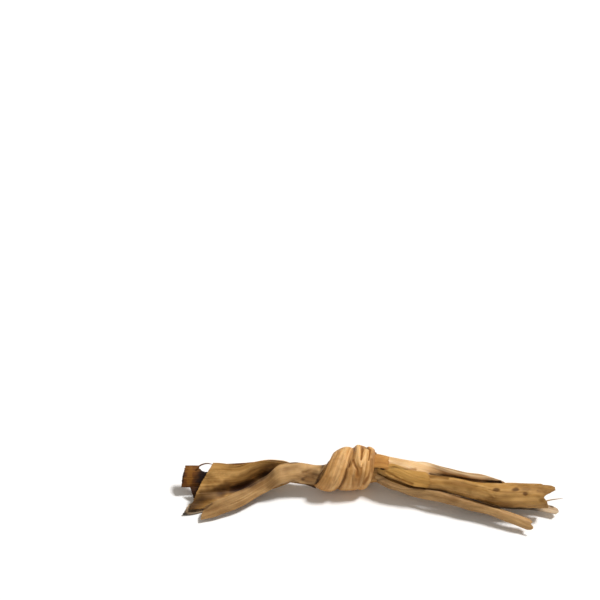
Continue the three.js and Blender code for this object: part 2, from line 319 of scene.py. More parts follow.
class Leaf(Sheet):
    """A strip lofted through sections along the bundle. Fray is how far its torn ends stray."""

    def __init__(self, sections, left, right, rows=320, columns=36, waver=0.3, fray=0.2, gather=1.0, seed=1):
        keys = np.array(sections, dtype=float)
        middle_y, middle_z, tilt, turn, width_at = (track(keys[:, (0, column)]) for column in range(1, 6))
        share = np.linspace(0, 1, columns)[None, :]
        progress = np.linspace(0, 1, rows)[:, None] ** gather
        edge = share * TORN_LENGTH
        torn = fray * (ripple(edge, 0 * edge, 1.3, 1, seed + 3) + ripple(edge, 0 * edge, 0.45, 1, seed + 4))
        starts = track(left)(share) - torn
        stops = track(right)(share) + torn[:, ::-1]
        x = starts + (stops - starts) * progress
        width = width_at(x)
        upper = np.clip(2 * share - 1, 0, 1) * ripple(x, 0 * x, 7, 1, seed + 1)
        lower = np.clip(1 - 2 * share, 0, 1) * ripple(x, 0 * x, 6, 1, seed + 2)
        across = width * (share - 0.5) + waver * (upper + lower)
        bend = np.radians(turn(x)) * across / width
        small = np.abs(bend) < 1e-4
        chord = np.where(small, across, 2 * across * np.sin(bend / 2) / np.where(small, 1, bend))
        lean = np.radians(tilt(x))
        depth = middle_y(x) - STRAY * raised(x) + chord * np.cos(lean + bend / 2)
        height = middle_z(x) + raised(x) + chord * np.sin(lean + bend / 2)
        middle = np.stack([x, depth, height], axis=-1)
        out = np.stack([0 * x, -np.sin(lean + bend), np.cos(lean + bend)], axis=-1)
        super().__init__(x, across, width, share + 0 * x, progress + 0 * x, middle, out, seed)

    def sink(self, depth, line, reach):
        """A trough along the leaf: its depth and its place across, both along x, and its reach each way."""
        distance = np.abs(self.share - track(line)(self.x)) * self.width
        near = np.clip(1 - distance / reach, 0, 1)
        self.lift -= track(depth)(self.x) * near * near * (3 - 2 * near)


def frame_metres(points):
    """Millimetres in the bundle's own middle to metres in the frame."""
    return (points + FOOTPRINT) * MM


SHARP_TURN = math.radians(55)


def sheet_piece(name, middle, out, attributes, opened):
    """A thin closed sheet from a grid of points, thickened to both sides, with its rims closed."""
    rows, columns = middle.shape[:2]
    number = np.arange(rows * columns).reshape(rows, columns)
    corners = np.stack([number[:-1, :-1], number[1:, :-1], number[1:, 1:], number[:-1, 1:]], axis=-1)
    kept = ~(opened[:-1, :-1] | opened[1:, :-1] | opened[1:, 1:] | opened[:-1, 1:])
    faces = corners[kept]
    sides = np.concatenate([faces[:, [0, 1]], faces[:, [1, 2]], faces[:, [2, 3]], faces[:, [3, 0]]])
    ordered = np.sort(sides, axis=1)
    _, first, count = np.unique(ordered, axis=0, return_index=True, return_counts=True)
    rim = sides[first[count == 1]]
    total = rows * columns
    half = out * LEAF_THICKNESS / 2
    points = np.concatenate([(middle + half).reshape(-1, 3), (middle - half).reshape(-1, 3)])
    points[:, 2] = np.maximum(points[:, 2], 0)
    quads = np.concatenate(
        [
            faces,
            faces[:, ::-1] + total,
            np.stack([rim[:, 1], rim[:, 0], rim[:, 0] + total, rim[:, 1] + total], axis=-1),
        ]
    )
    used, compact = np.unique(quads, return_inverse=True)
    mesh = bpy.data.meshes.new(name)
    mesh.from_pydata(frame_metres(points[used]).tolist(), [], compact.reshape(quads.shape).tolist())
    for key, values in attributes.items():
        both = np.concatenate([values.reshape(total, -1), values.reshape(total, -1)])[used]
        if both.shape[1] == 3:
            layer = mesh.attributes.new(key, "FLOAT_VECTOR", "POINT")
            layer.data.foreach_set("vector", both.astype(np.float32).ravel())
        else:
            layer = mesh.attributes.new(key, "FLOAT", "POINT")
            layer.data.foreach_set("value", both.astype(np.float32).ravel())
    mesh.polygons.foreach_set("use_smooth", np.ones(len(mesh.polygons), dtype=bool))
    mesh.set_sharp_from_angle(angle=SHARP_TURN)
    mesh.validate()
    piece = bpy.data.objects.new(name, mesh)
    bpy.context.scene.collection.objects.link(piece)
    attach(piece, "root")
    return piece


# Folds are read off the lift against a softened copy of it. Painted shade darkens a fold, in full this deep.
FOLD_SPREAD = 14
FOLD_DEPTH = 0.22
RIM_REACH = 0.4


def leaf_piece(name, node, sheet):
    """The sheet as a piece that stands for its CAD node, with what its material reads."""
    smooth = soften(sheet.lift, FOLD_SPREAD)
    ends = np.minimum(sheet.progress, 1 - sheet.progress) * np.ptp(sheet.along, axis=0)[None, :]
    to_edge = np.minimum(np.minimum(sheet.to_lower, sheet.to_upper), ends)
    attributes = {
        "grain": np.stack([sheet.along, sheet.across, 0 * sheet.x], axis=-1),
        "rim": np.exp(-to_edge / RIM_REACH),
        "painted_fold_shade": np.clip((smooth - sheet.lift) / FOLD_DEPTH, 0, 1),
        "ridge": np.clip((sheet.lift - smooth) / FOLD_DEPTH, 0, 1),
        **sheet.marks,
    }
    middle = sheet.middle + sheet.out * sheet.lift[..., None]
    piece = sheet_piece(name, middle, sheet.out, attributes, sheet.open)
    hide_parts(node)
    return piece


class Shade:
    """One socket of a material. Arithmetic on it adds the nodes that work it out."""

    def __init__(self, finish, socket):
        self.finish = finish
        self.socket = socket

    def worked_out(self, operation, first, second):
        return self.finish.add("Math", {"operation": operation}, {0: first, 1: second})

    def __add__(self, other):
        return self.worked_out("ADD", self, other)

    def __sub__(self, other):
        return self.worked_out("SUBTRACT", self, other)

    def __rsub__(self, other):
        return self.worked_out("SUBTRACT", other, self)

    def __mul__(self, other):
        return self.worked_out("MULTIPLY", self, other)

    __radd__ = __add__
    __rmul__ = __mul__

    def over(self, low, high):
        """0 below low and 1 above high, with a soft step between."""
        settings = {"interpolation_type": "SMOOTHSTEP"}
        return self.finish.add("MapRange", settings, {"Value": self, "From Min": low, "From Max": high})


class Finish:
    """A material being made. Every node comes into it through add()."""

    def __init__(self, name):
        self.material = bpy.data.materials.new(name)
        self.material.use_nodes = True
        self.tree = self.material.node_tree
        self.tree.nodes.clear()

    def add(self, kind, settings=None, inputs=None, output=0):
        node = self.tree.nodes.new("ShaderNode" + kind)
        for key, value in (settings or {}).items():
            setattr(node, key, value)
        for key, value in (inputs or {}).items():
            if isinstance(value, Shade):
                self.tree.links.new(value.socket, node.inputs[key])
            else:
                node.inputs[key].default_value = value
        return Shade(self, node.outputs[output])

    def mix(self, mask, first, second):
        """first where the mask is 0, second where it is 1."""
        return self.add("Mix", {"data_type": "RGBA"}, {0: mask, 6: first, 7: second}, output=2)

    def stretched(self, vector, scale, offset=0.0):
        """A vector scaled along each of its own axes, and moved so that no two leaves look alike."""
        scaled = self.add("VectorMath", {"operation": "MULTIPLY"}, {0: vector, 1: scale})
        moved = (offset, offset * 1.7, offset * 0.3)
        return self.add("VectorMath", {"operation": "ADD"}, {0: scaled, 1: moved})

    def noise(self, vector, detail=2.0, roughness=0.5):
        inputs = {"Vector": vector, "Scale": 1.0, "Detail": detail, "Roughness": roughness}
        return self.add("TexNoise", None, inputs)

    def surface(self, shader):
        output = self.tree.nodes.new("ShaderNodeOutputMaterial")
        self.tree.links.new(shader.socket, output.inputs["Surface"])
        return self.material


def colour(code):
    """A web colour as the renderer wants it."""
    shares = [int(code[i : i + 2], 16) / 255 for i in (1, 3, 5)]
    return (*(((s + 0.055) / 1.055) ** 2.4 if s > 0.04045 else s / 12.92 for s in shares), 1)


# How close the markings of a leaf lie: clouds by the metre of space, the others by the millimetre along the
# fibres and across them.
CLOUD_SCALE = (40, 80, 80)
BAND_SCALE = (0.018, 0.33, 0)
STREAK_SCALE = (0.05, 1.3, 0)
HAIR_SCALE = (0.10, 4.6, 0)
FRECKLE_SCALE = (0.20, 0.42, 0)
RELIEF = 0.0005


def dried_leaf(name, pale, tan, brown, dark, seed, mottled=0.8):
    """Dry leaf: clouds of brown, bands and hair-fine streaks along its fibres, freckles, painted shade in
    folds.
    """
    finish = Finish(name)
    grain = finish.add("Attribute", {"attribute_name": "grain"}, output="Vector")
    place = finish.add("TexCoord", output="Object")
    stain, brown_and_shade_mark, pale_and_highlight_mark, painted_fold_shade, ridge, rim = (
        finish.add("Attribute", {"attribute_name": key}, output="Fac")
        for key in ("stain", "brown", "pale", "painted_fold_shade", "ridge", "rim")
    )
    clouds = finish.noise(finish.stretched(place, CLOUD_SCALE, seed), 5, 0.62)
    bands = finish.noise(finish.stretched(grain, BAND_SCALE, seed + 1), 3, 0.6)
    streaks = finish.noise(finish.stretched(grain, STREAK_SCALE, seed + 3), 4, 0.65)
    hairs = finish.noise(finish.stretched(grain, HAIR_SCALE, seed + 5), 3, 0.6)
    tone = finish.mix(bands.over(0.38, 0.62), colour(tan), colour(pale))
    tone = finish.mix(clouds.over(0.46, 0.64) * mottled, tone, colour(brown))
    tone = finish.mix(streaks.over(0.50, 0.70) * 0.24, tone, colour(brown))
    tone = finish.mix(streaks.over(0.48, 0.32) * 0.25, tone, colour(pale))
    tone = finish.mix(hairs.over(0.56, 0.74) * 0.20, tone, colour(brown))
    freckle = finish.add(
        "TexVoronoi",
        {"feature": "F1"},
        {"Vector": finish.stretched(grain, FRECKLE_SCALE, seed + 7), "Scale": 1.0, "Randomness": 1.0},
        output="Distance",
    )
    tone = finish.mix(freckle.over(0.10, 0.02) * 0.45, tone, colour(dark))
    broken = (streaks - 0.5) * 0.7
    tone = finish.mix(ridge * 0.40, tone, colour(pale))
    # Pale marks: the leaf's paler patches, and painted highlights.
    tone = finish.mix((pale_and_highlight_mark + broken * pale_and_highlight_mark).over(0.05, 0.95) * 0.9, tone, colour(pale))
    # Painted shade in the folds.
    tone = finish.mix(painted_fold_shade * 0.55, tone, colour(brown))
    tone = finish.mix(rim * 0.30, tone, colour(brown))
    # Brown marks: real browning, and painted shade beside troughs, under folds and in creases.
    tone = finish.mix((brown_and_shade_mark + broken * brown_and_shade_mark).over(0.05, 0.85) * 0.9, tone, colour(brown))
    # Dark marks: real stains and scars, and painted shade in troughs and gaps between leaves.
    tone = finish.mix((stain + broken * stain).over(0.08, 1.05), tone, colour(dark))
    height = streaks * 0.5 + hairs * 0.35 + clouds * 0.3
    relief = finish.add("Bump", None, {"Strength": 0.6, "Distance": RELIEF, "Height": height})
    shader = finish.add(
        "BsdfPrincipled",
        None,
        {
            "Base Color": tone,
            "Roughness": 0.70 - streaks * 0.2,
            "Normal": relief,
            "Specular IOR Level": 0.25,
            "Subsurface Weight": 0.10,
            "Subsurface Radius": (0.9, 0.5, 0.2),
            "Subsurface Scale": 0.001,
        },
    )
    return finish.surface(shader)


broad_leaf = Leaf(
    [
        (-86, -10.6, 9.8, 41, -10, 22),
        (-75, -9.8, 9.5, 43, -5, 21.5),
        (-62, -7.0, 6.8, 43, 55, 19.5),
        (-50, -2.7, 8.1, 46, 40, 15),
        (-42, -3.1, 9.9, 48, -30, 11.6),
        *pressed(
            [
                (-35, 1, 155, 9.5), (-26, 1, 165, 9.5), (-10, 1, 175, 12), (5, 1, 170, 14),
                (22, 1, 152, 15), (40, 1, 150, 15.7), (63, 1, 144, 18), (89, 1, 142, 18.5),
            ]
        ),
    ],
    left=[(0, -86), (0.3, -83.4), (0.6, -80.2), (1, -75)],
    right=[
        (0, 84.4), (0.2, 85), (0.4, 84.0), (0.52, 82.6), (0.64, 85.6), (0.72, 88.2),
        (0.8, 88.0), (0.9, 84.6), (1, 82),
    ],
    rows=420,
    columns=64,
    seed=10,
)
broad_leaf.sink(
    depth=[(-80, 0), (-70, 2.8), (-62, 3.8), (-52, 3.2), (-44, 0)],
    line=[(-74, 0.33), (-62, 0.38), (-50, 0.5)],
    reach=4.5,
)
broad_leaf.crumple(size=1.1)

# The lines where one leaf meets the next, in x and rise. Their darkness is painted shade.
TROUGH = [(-70, -3.6), (-65, -3.2), (-60, -2.0), (-56, -0.4), (-52, 2.0), (-48, 4.0), (-45, 5.6)]
LIP_CREASE = [(-75.2, -10.4), (-78.1, -12.2), (-80.6, -13.4)]
BACK_CREVICE = [
    (30, 3.9), (34.4, 3.2), (39.2, 2.7), (44, 2.0), (48.8, 1.3), (53.6, 0.7), (58.4, 0.2), (63.2, 0.1),
]
UNDER_SHORT_LEAF = [(4.1, 1.1), (8.9, 2.0), (13.7, 0.3), (19, -1.8), (22.4, -3.0), (26.7, -3.3)]
FRONT_CREVICE = [
    (26.7, -3.3), (34.4, -3.8), (40.1, -5.7), (45.4, -6.9), (52.6, -9.5), (58.4, -11.4), (63.2, -12.6),
]

# Painted shade: the dark trough, the dark run into it from the lower left, and the brown shading above it.
broad_leaf.line(TROUGH, 3.0, depth=0.3, stain=1.0)
broad_leaf.line(
    [(-84.6, -11.2), (-80, -7.6), (-76.2, -5.4), (-72.4, -4.0), (-68, -3.0)], 5.4, brown=1.0, stain=0.85
)
broad_leaf.spot(-61, -2.0, 18, 5.5, slant=18, depth=0.2, stain=1.0)
broad_leaf.line(
    [(-68, -0.6), (-62.7, 1.1), (-57, 3.9), (-51.2, 5.9), (-46.4, 7.3)], 4.6, brown=1.0, stain=0.42
)
broad_leaf.line([(-85, -13.0), (-79.5, -8.6), (-74, -5.4), (-68, -3.4)], 6.0, brown=1.0)
# Painted shade in the crease between the lip and this leaf.
broad_leaf.line(LIP_CREASE, 1.3, depth=0.5, stain=0.85)
# A painted highlight low on the left end.
broad_leaf.line([(-85.0, -11.0), (-82.6, -8.0), (-81.8, -5.5)], 1.4, pale=0.7)
# Painted shade in the crevices between the leaves.
broad_leaf.line(BACK_CREVICE, 1.3, depth=0.3, stain=0.9)
broad_leaf.line(UNDER_SHORT_LEAF, 1.4, depth=0.5, stain=0.7)
broad_leaf.line(FRONT_CREVICE, 1.4, stain=0.9)
broad_leaf.spot(81.5, -8.4, 4.0, 2.5, brown=0.6)

# Three dark scars in a row on the main strip.
SCARS = ((60.4, -3.6, 2.8), (69.5, -3.8, 3.2), (73.6, -5.6, 2.2))
SCAR_WIDTH = 1.9
for scar_x, scar_rise, scar_length in SCARS:
    broad_leaf.spot(scar_x, scar_rise, scar_length * 1.2, SCAR_WIDTH, depth=0.15, brown=1.0, stain=0.5)

broad_leaf.line([(62, 0.4), (72, -0.2), (83, -1.6)], 2.2, brown=0.5)
broad_leaf.spot(50.5, -3.8, 4.0, 3.0, brown=0.4)
broad_leaf.line([(29.5, 2.2), (33, 2.2), (38, 1.4)], 1.6, brown=0.9)
broad_leaf.spot(44.0, -1.5, 24, 5.0, slant=-10, brown=0.55)
# Painted shade along the roll's underside, and painted light where it faces up at the right.
broad_leaf.line([(52, -8.4), (62, -11.0), (74, -12.6)], 2.0, brown=0.7)
broad_leaf.line([(62, -6.5), (70, -8.0), (77, -8.5)], 4.5, pale=0.75)
broad_leaf.line([(51.7, -1.8), (55.5, -3.4), (59.4, -7.1)], 0.9, depth=-0.15, pale=0.5)
broad_detail = leaf_piece("broad_leaf_detail", "broad_leaf", broad_leaf)
broad_detail.data.materials.append(
    dried_leaf("broad_leaf_finish", "#cb9e5e", "#b28444", "#785018", "#2a1000", 1.0)
)

# The front leaf is a narrower strip of the same sheath, held by the tie alone. At the left it stands as a pale
# lip before the trough, and at the right it strays towards the front, its edges curled under as it dried.
front_leaf = Leaf(
    [
        (-81, -22.2, 3.0, 30, -20, 5.8),
        (-72, -19.6, 5.2, 39, -25, 7.6),
        (-62, -15.8, 6.7, 39, -35, 8.2),
        (-50, -8.9, 8.9, 41, -50, 8.0),
        around(-42, -3.2, 9.9, 5.4, 126, 10.6),
        *pressed(
            [(-35, 0, 128, 11.6), (-26, 0, 141, 12.4), (-10, 0, 190, 9), (5, 0, 198, 9.5), (13, 0, 196, 8.5)]
        ),
        (22, -12.0, 6.0, 88, -66, 6.0),
        (32, -13.9, 6.2, 66, -90, 6.0),
        (42, -16.2, 4.8, 50, -110, 5.8),
        (58, -19.9, 2.9, 46, -120, 5.8),
        (66, -23.2, 1.9, 44, -120, 5.8),
        (80, -27.9, -0.4, 40, -110, 5.8),
    ],
    left=[(0, -80.5), (0.5, -80), (1, -78)],
    right=[(0, 74.6), (0.2, 76.4), (0.45, 77.3), (0.6, 76.2), (0.8, 77.0), (1, 75.6)],
    rows=400,
    seed=20,
)
front_leaf.crumple()

NECK_TOP = [(-44.0, 9.8), (-42.1, 9.6), (-37.7, 8.7), (-32.9, 9.2), (-30.0, 9.1)]
KNOT_EDGE = [(-21.2, 8.3), (-22.8, 4.9), (-24.0, 1.5), (-25.5, -1.3), (-26.4, -3.0)]
# Painted shade: the trough's shadow along the lip's top edge, a browner band below it, and the lip crease.
front_leaf.line([(-68, -4.2), (-62, -2.8), (-57, -1.4), (-52, 1.6), (-47, 4.4)], 2.6, stain=0.9)
front_leaf.line([(-72, -6.2), (-66, -5.0), (-58, -3.2), (-52, 0.2)], 2.2, brown=0.6)
front_leaf.line(LIP_CREASE, 1.3, stain=0.85)
# Painted shade: the dark groove under the neck's top edge, the dark line along the knot's left edge, the brown
# fold and dark creases beside the knot, the dark line along the neck's underside, and the black spot below the
# knot's lower corner.
front_leaf.line(NECK_TOP, 1.0, depth=0.3, stain=0.7)
front_leaf.line(KNOT_EDGE, 1.5, stain=0.9)
front_leaf.line([(-31.5, 4.4), (-29.1, 5.4), (-26.2, 6.1), (-23.3, 6.6)], 1.2, depth=0.4, brown=0.6)
front_leaf.line([(-32.0, 1.1), (-30.0, 2.3), (-27.2, 2.0)], 1.2, depth=0.4, stain=0.5)
front_leaf.line([(-41.8, -1.0), (-38.2, -0.1), (-36.3, 0.6), (-33.9, 0.0)], 1.2, depth=0.4, stain=0.65)
front_leaf.spot(-28.0, 2.5, 12, 9, brown=0.6)
front_leaf.spot(-31.5, 1.2, 3.2, 2.0, stain=0.6)
front_leaf.spot(-25.6, 3.6, 4, 8, slant=-10, stain=0.4)
front_leaf.line([(-44, 5), (-36, 4.6), (-30, 6.6)], 2.2, pale=0.6)
front_leaf.spot(-26.7, -2.4, 3.4, 3.0, stain=1.0)
front_leaf.spot(-53, 0.2, 3.5, 2.5, slant=30, pale=0.6)
# Painted shade in the crevices under the main strip and under the short leaf.
front_leaf.line(FRONT_CREVICE, 1.3, stain=0.85)
front_leaf.line(UNDER_SHORT_LEAF, 1.2, stain=0.6)
# Painted shade along the lip's lower side, where it curls under.
front_leaf.line([(-80, -17.6), (-72, -14.8), (-62, -11.0), (-52, -6.5)], 2.6, brown=0.55)
front_detail = leaf_piece("front_leaf_detail", "front_leaf", front_leaf)
front_detail.data.materials.append(
    dried_leaf("front_leaf_finish", "#c9a06a", "#a98454", "#7c552a", "#2a1000", 2.0, mottled=0.6)
)

# The neck flap is a torn edge of the front leaf. It is the same dry sheath, hangs on by its upper side, and
# lies in the dark below the neck, just before the tie. Its brown, and the black at its right end, are painted
# shade.
neck_flap = Leaf(
    [(-39, -4.6, 6.6, 60, -20, 1.6), (-31, -4.9, 6.4, 62, -20, 3.2), (-25, -6.1, 5.3, 62, -20, 3.8)],
    left=[(0, -39), (1, -39)],
    right=[(0, -25.4), (0.5, -24.8), (1, -25)],
    rows=60,
    columns=20,
    fray=0.2,
    seed=25,
)
neck_flap.crumple(size=0.5)
neck_flap.mark(np.ones_like(neck_flap.x), 0, {"brown": 0.9})
neck_flap.line([(-30.5, -1.6), (-27.6, -2.4), (-25.2, -2.8)], 2.2, stain=1.0)
neck_flap_detail = leaf_piece("neck_flap_detail", "front_leaf", neck_flap)
neck_flap_detail.data.materials.append(front_detail.data.materials[0])

# The back leaf is a paler strip of dry sheath, which stands on edge behind the others. The tie holds it. Its
# top edge is the pale line along the top at the right, where it narrows to a point; its paleness is a painted
# highlight.
back_leaf = Leaf(
    [
        (-73, 2.6, 3.8, -108, 20, 6.0),
        (-60, 3.3, 4.4, -108, 20, 6.8),
        (-50, 3.5, 7.3, -102, 20, 8.4),
        (-42, 3.0, 9.0, -92, -10, 7.2),
        *pressed([(-35, 1, 8, 5.8), (-26, 1, 12, 4.7), (-10, 0.7, 38, 7), (-3, 0, 48, 8.5), (5, 0, 54, 9.5)]),
        around(13, -1.3, 9.5, 6.85, 65, 10.2),
        around(19, -1.9, 9.0, 6.6, 73, 9.6),
        (24, -1.0, 13.6, -3, -45, 6.7),
        (28, -0.95, 12.4, 18, -25, 5.6),
        (32, -1.45, 11.3, 41, -15, 5.2),
        (38, -2.9, 10.3, 58, -10, 5.0),
        (44, -4.2, 9.9, 64, -8, 4.8),
        (52, -5.6, 9.4, 66, -8, 4.8),
        (66, -6.6, 7.3, 68, -8, 2.6),
    ],
    left=[(0, -73), (1, -71)],
    right=[(0, 65.5), (0.4, 66), (0.8, 64), (1, 60)],
    seed=30,
)
back_leaf.crumple(size=0.8)
# Painted shade in the crevice below the top edge, where the short leaf meets this leaf, and along the neck's
# top; a painted highlight on the top edge.
back_leaf.line(BACK_CREVICE, 1.7, stain=1.0)
back_leaf.line([(26, 9.3), (32, 7.6), (38, 5.7), (44, 4.3), (52, 2.9), (64, 1.0)], 1.7, pale=1.0)
back_leaf.line([(7.0, 6.6), (12.7, 7.1), (17.5, 5.9), (22.8, 5.9)], 1.1, depth=0.3, brown=0.9)
back_leaf.line(NECK_TOP, 0.9, stain=0.8)
back_detail = leaf_piece("back_leaf_detail", "back_leaf", back_leaf)
back_detail.data.materials.append(
    dried_leaf("back_leaf_finish", "#f2d3a6", "#dfb680", "#a87a42", "#2a1000", 3.0, mottled=0.3)
)

# The stub leaf is a strip of darker sheath, cut square at the far left, where its reddish inner side shows. It
# runs on through the tie, and ends hidden inside the roll of the broad leaf. A bit of its edge is torn out.
stub_leaf = Leaf(
    [
        (-91, -4.2, 9.2, 39, -45, 10.5),
        (-80, -3.8, 9.0, 41, -40, 10.5),
        (-62, -0.6, 7.8, 56, -30, 9.3),
        (-50, 1.0, 8.8, 62, -30, 7.5),
        (-42, -1.0, 9.7, 48, -45, 6.6),
        *pressed(
            [
                (-35, 2.1, 94, 4.8), (-26, 2.1, 94, 4.0), (-10, 2.1, 97, 6), (5, 2.1, 117, 7.0),
                (22, 2.1, 120, 6.4), (40, 2.1, 115, 5.8), (73, 2.1, 108, 6.4),
            ]
        ),
    ],
    left=[(0, -90.8), (0.5, -90.2), (1, -88.8)],
    right=[(0, 72), (1, 71)],
    rows=420,
    columns=44,
    fray=0.15,
    gather=1.6,
    seed=40,
)
stub_leaf.crumple(size=0.6)
stub_leaf.spot(-90.2, 3.0, 2.6, 15, slant=-8, stain=0.75)
stub_leaf.spot(-86.6, 3.0, 3.0, 13, slant=-6, pale=1.0)
# Painted shade on the stub's right part, where it lies under the broad leaf, and along the trough.
stub_leaf.spot(-79.0, 2.0, 11.0, 15, slant=-10, stain=1.1)
stub_leaf.line(TROUGH, 3.5, stain=1.0)

HOLE_X = -78.4
HOLE_RISE = 6.4
HOLE_REACH = (2.9, 1.45)
TORN_EDGE = (-82.0, -74)
from_hole = (stub_leaf.x - HOLE_X) / HOLE_REACH[0], (stub_leaf.rise - HOLE_RISE) / HOLE_REACH[1]
torn_out = np.hypot(*from_hole) < 1
torn_out |= (stub_leaf.x > TORN_EDGE[0]) & (stub_leaf.x < TORN_EDGE[1]) & (stub_leaf.rise > HOLE_RISE)
stub_leaf.open |= torn_out
stub_detail = leaf_piece("stub_leaf_detail", "stub_leaf", stub_leaf)
stub_finish = dried_leaf("stub_leaf_finish", "#875616", "#63380b", "#4a1e04", "#1c0600", 4.0)
stub_detail.data.materials.append(stub_finish)

# A fibre of the stub leaf arches over the gap in its upper edge. It is one hard strand of the sheath, left
# standing when the leaf round it tore away.
RISE_TO_BACK = math.cos(VIEW_DOWN)
RISE_TO_TOP = math.sin(VIEW_DOWN)


def fibre(name, node, points, thick, sides=8, steps=40):
    """A loose fibre: a thin tube, pointed at its far end, through points of x, rise and z."""
    points = np.array(points, dtype=float)
    where = np.linspace(0, 1, len(points))
    tracks = (track(np.stack([where, points[:, column]], axis=1)) for column in range(3))
    x, rise, z = (path(np.linspace(0, 1, steps)) for path in tracks)
    spine = np.stack([x, (rise - RISE_TO_TOP * z) / RISE_TO_BACK, z], axis=-1)
    way = np.gradient(spine, axis=0)
    way /= np.linalg.norm(way, axis=1)[:, None]
    side = np.cross(way, (0, 0, 1))
    side /= np.linalg.norm(side, axis=1)[:, None]
    top = np.cross(side, way)
    turned = np.linspace(0, 2 * math.pi, sides, endpoint=False)[None, :, None]
    radius = (thick / 2 * (1 - 0.8 * np.linspace(0, 1, steps) ** 3))[:, None, None]
    rings = spine[:, None] + radius * (np.cos(turned) * side[:, None] + np.sin(turned) * top[:, None])
    number = np.arange(steps * sides).reshape(steps, sides)
    after = np.roll(number, -1, axis=1)
    faces = np.stack([number[:-1], number[1:], after[1:], after[:-1]], axis=-1).reshape(-1, 4).tolist()
    faces += [number[0].tolist(), number[-1, ::-1].tolist()]
    mesh = bpy.data.meshes.new(name)
    mesh.from_pydata(frame_metres(rings.reshape(-1, 3)).tolist(), [], faces)
    grain = np.stack([np.repeat(x, sides), np.tile(turned.ravel(), steps), np.zeros(steps * sides)], axis=-1)
    layer = mesh.attributes.new("grain", "FLOAT_VECTOR", "POINT")
    layer.data.foreach_set("vector", grain.astype(np.float32).ravel())
    mesh.polygons.foreach_set("use_smooth", np.ones(len(mesh.polygons), dtype=bool))
    piece = bpy.data.objects.new(name, mesh)
    bpy.context.scene.collection.objects.link(piece)
    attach(piece, "root")
    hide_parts(node)
    return piece


arch = fibre(
    "stub_arch",
    "stub_leaf",
    [(-83.4, 6.0, 11.6), (-81.4, 8.1, 12.8), (-78.2, 8.9, 13.2), (-74.6, 8.3, 12.9)],
    thick=0.75,
)
arch.data.materials.append(stub_finish)

# The stub flap is a torn piece of the stub leaf's lower edge. It is the same dark sheath, and hangs in the
# shade behind the broad leaf. Its darkening all over is painted shade.
stub_flap = Leaf(
    [(-88, -10.2, 4.2, 48, -30, 5.6), (-72, -9.6, 3.8, 48, -30, 5.6)],
    left=[(0, -84.6), (0.4, -85.3), (1, -86.6)],
    right=[(0, -72), (1, -72)],
    rows=70,
    columns=26,
    fray=0.2,
    seed=45,
)
stub_flap.crumple(size=0.5)
stub_flap.mark(np.ones_like(stub_flap.x), 0, {"stain": 0.75})
stub_flap_detail = leaf_piece("stub_flap_detail", "stub_leaf", stub_flap)
stub_flap_detail.data.materials.append(stub_finish)

# The under leaf is a thin, greyer strip of sheath beneath the others, held by the tie. It ends in a dark
# hooked tip low on the table at the left, and in a pale flat one at the right.
under_leaf = Leaf(
    [
        (-89.5, -18.6, 1.0, 12, 60, 4.5),
        (-84, -16.8, 0.7, 6, 20, 6.5),
        (-74, -12.0, 0.6, 3, 5, 8.5),
        (-62, -7.4, 0.9, 8, 0, 8),
        (-50, -3.0, 2.7, 14, 5, 7),
        (-42, -2.2, 5.8, 10, 30, 6.4),
        *pressed(
            [(-35, 2, 268, 4.8), (-26, 2, 268, 4.0), (-10, 2, 272, 6), (5, 2, 288, 7), (11, 2, 290, 7)],
            underside=True,
        ),
        (20, -1.9, 3.4, 6, 30, 7),
        (27, -3.6, 2.1, 5, 15, 7),
        (34, -5.6, 1.8, 4, 10, 7),
        (50, -10.8, 0, 2, 0, 6.2),
        (68, -12.2, -1.6, 0, 0, 6),
        (80, -13.5, -1.6, 0, 0, 5.2),
        (90, -16.4, -1.6, 0, 0, 4.8),
    ],
    left=[(0, -89.5), (1, -87)],
    right=[(0, 89.6), (0.4, 91.2), (0.7, 90.8), (1, 88.8)],
    rows=400,
    columns=30,
    waver=0.15,
    seed=50,
)
under_leaf.crumple(size=0.25, ribs=0.02)
under_leaf.line([(-89.8, -12.0), (-89.0, -15.3), (-87.3, -16.4), (-80.0, -15.6)], 2.6, stain=1.0)
under_leaf.spot(-85.0, -13.0, 8.0, 5.0, slant=30, brown=0.9)
under_leaf.spot(88.6, -11.8, 3.0, 2.4, brown=0.9)
# Painted shadow on the under leaf, between the roll and the front strip.
under_leaf.line([(46, -8.0), (58, -10.4), (70, -12.0), (81.5, -12.4)], 4.5, stain=1.0)
under_detail = leaf_piece("under_leaf_detail", "under_leaf", under_leaf)
under_finish = dried_leaf("under_leaf_finish", "#cdb595", "#b08c64", "#6e5a44", "#1a120c", 5.0, mottled=0.45)
under_detail.data.materials.append(under_finish)

# The loose fibre is one hard strand of the broad leaf's torn end. It sticks out to the right, between the roll
# and the under leaf.
sliver = fibre(
    "loose_fibre",
    "broad_leaf",
    [(80.0, -9.9, 6.4), (84.6, -9.1, 6.8), (89.0, -8.3, 7.2), (93.4, -7.8, 7.4)],
    thick=0.7,
)
sliver.data.materials.append(under_finish)

# The short leaf is a broken piece of yellower sheath. Its left end is caught under the tie, and its right end
# lies loose over the main strip.
short_leaf = Leaf(
    [
        *pressed([(-8, 0, 126, 2.4), (6, 0, 126, 3.4)]),
        (12, -6.0, 15.8, 33, -35, 6.6),
        (20, -8.6, 13.9, 42, -45, 7.3),
        (29.5, -9.5, 12.8, 44, -50, 7.2),
    ],
    left=[(0, -8), (1, -8)],
    right=[(0, 28), (0.3, 29.5), (0.7, 29), (1, 27.5)],
    rows=130,
    columns=32,
    seed=60,
)
short_leaf.crumple(size=0.8)
